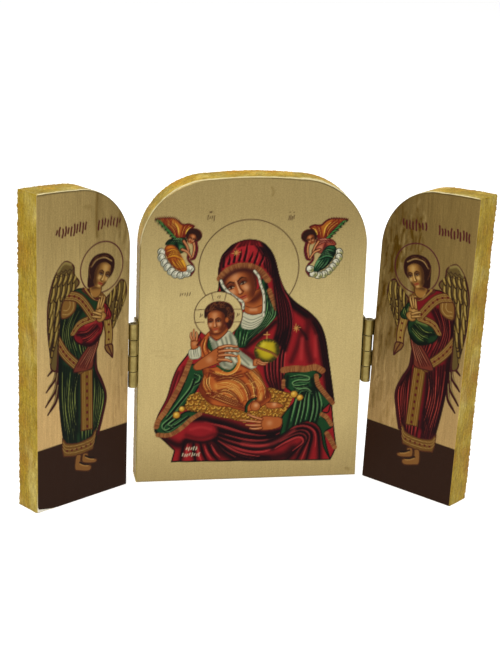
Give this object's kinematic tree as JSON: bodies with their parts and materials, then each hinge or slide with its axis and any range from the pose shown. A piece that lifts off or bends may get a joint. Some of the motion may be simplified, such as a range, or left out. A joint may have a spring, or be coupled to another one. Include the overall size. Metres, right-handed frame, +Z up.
{
  "type": "folding triptych altarpiece",
  "caption": "Small standing triptych: an arched wooden panel with half-width folding wings on brass hinges, faced with printed foil pictures.",
  "frame": {"origin": "the middle of the centre panel's underside, on the surface the triptych stands on", "axes": "+Z is up, -Y is the way the pictures face, and +X runs along the opened triptych to the right wing"},
  "size_m": [0.1716, 0.046, 0.12],
  "materials": {
    "gilded_paint": "rough mottled gold paint on sawn wood",
    "printed_foil": "printed picture on satin gold foil",
    "hinge_brass": "dull stamped brass"
  },
  "bodies": {
    "centre": {"centre_panel": "gilded_paint", "centre_picture": "printed_foil", "left_hinge_centre_leaf": "hinge_brass", "left_hinge_centre_leaf_nail_1": "hinge_brass", "left_hinge_centre_leaf_nail_2": "hinge_brass", "left_hinge_pin": "hinge_brass", "right_hinge_centre_leaf": "hinge_brass", "right_hinge_centre_leaf_nail_1": "hinge_brass", "right_hinge_centre_leaf_nail_2": "hinge_brass", "right_hinge_pin": "hinge_brass"},
    "left_wing": {"left_wing_panel": "gilded_paint", "left_wing_picture": "printed_foil", "left_hinge_wing_leaf": "hinge_brass", "left_hinge_wing_leaf_nail_1": "hinge_brass", "left_hinge_wing_leaf_nail_2": "hinge_brass"},
    "right_wing": {"right_wing_panel": "gilded_paint", "right_wing_picture": "printed_foil", "right_hinge_wing_leaf": "hinge_brass", "right_hinge_wing_leaf_nail_1": "hinge_brass", "right_hinge_wing_leaf_nail_2": "hinge_brass"}
  },
  "joints": [
    {"name": "left_wing_hinge", "type": "hinge", "parent": "centre", "child": "left_wing", "pos_m": [-0.045, -0.0062, 0.052], "axis": [0, 0, 1], "range_deg": [-39, 146]},
    {"name": "right_wing_hinge", "type": "hinge", "parent": "centre", "child": "right_wing", "pos_m": [0.045, -0.0062, 0.052], "axis": [0, 0, -1], "range_deg": [-55, 130]}
  ]
}
